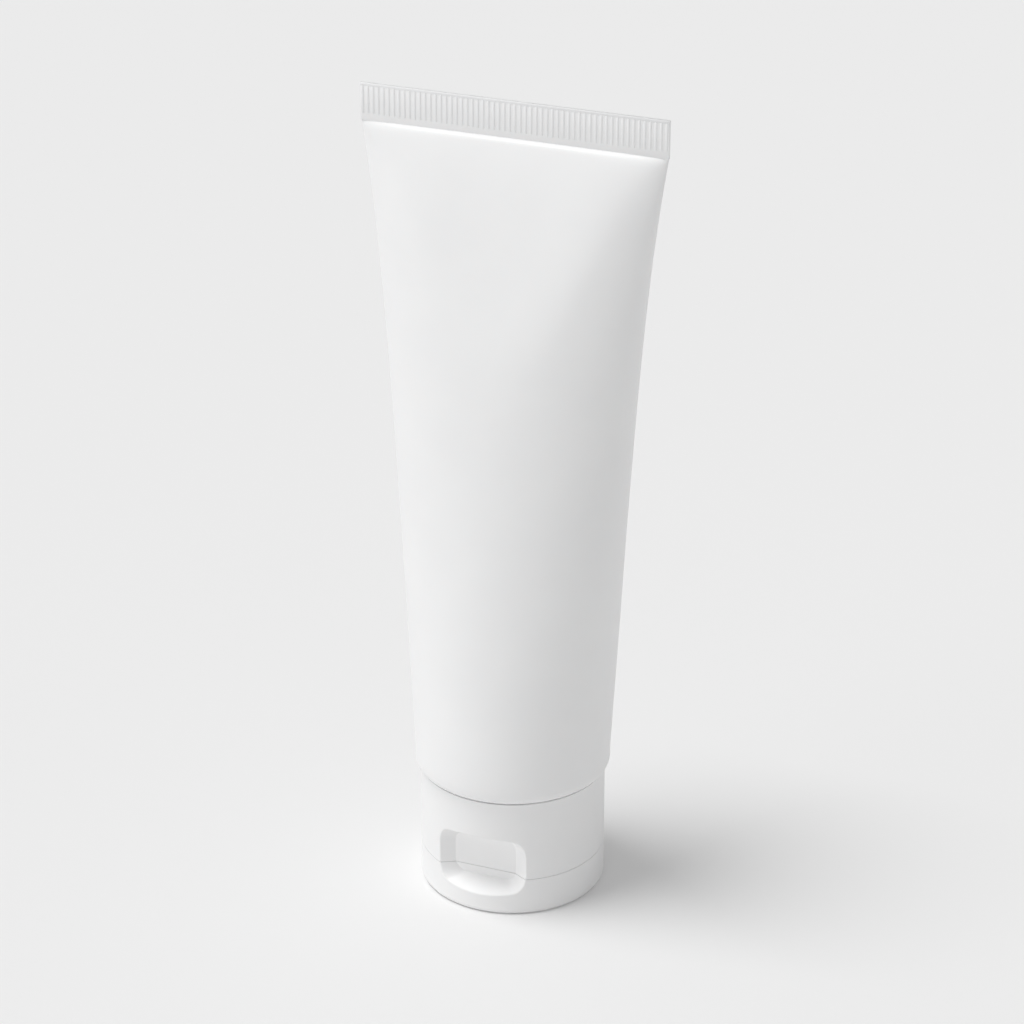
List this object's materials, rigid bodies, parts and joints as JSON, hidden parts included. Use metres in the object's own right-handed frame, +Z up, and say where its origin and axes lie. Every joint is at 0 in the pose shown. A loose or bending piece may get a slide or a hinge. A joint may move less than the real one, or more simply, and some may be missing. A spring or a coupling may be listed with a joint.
{
  "type": "toothpaste tube",
  "caption": "Blank stand-up squeeze tube with a flat crimped seal, standing on its round flip-top cap with a thumb scoop and a film hinge.",
  "frame": {"origin": "on the floor under the middle of the cap that the tube stands on", "axes": "+Z up from the cap to the crimped seal; X along the seal; -Y is the front, the side with the thumb scoop"},
  "size_m": [0.0596, 0.038, 0.159],
  "materials": {
    "sleeve": "satin",
    "head": "satin",
    "paste": "gloss",
    "cap": "satin"
  },
  "bodies": {
    "tube": {"tube_sleeve": "sleeve", "tube_head": "head", "paste_fill": "paste"},
    "cap": {"cap_base": "cap", "living_hinge": "cap"},
    "lid": {"cap_lid": "cap"}
  },
  "joints": [
    {"name": "cap_turn", "type": "hinge", "parent": "tube", "child": "cap", "pos_m": [0, 0, 0.014], "axis": [0, 0, -1], "range_deg": [0, 540]},
    {"name": "lid_hinge", "type": "hinge", "parent": "cap", "child": "lid", "pos_m": [0, 0.0174, 0.0078], "axis": [1, 0, 0], "range_deg": [0, 125], "deforming": ["living_hinge"]}
  ]
}
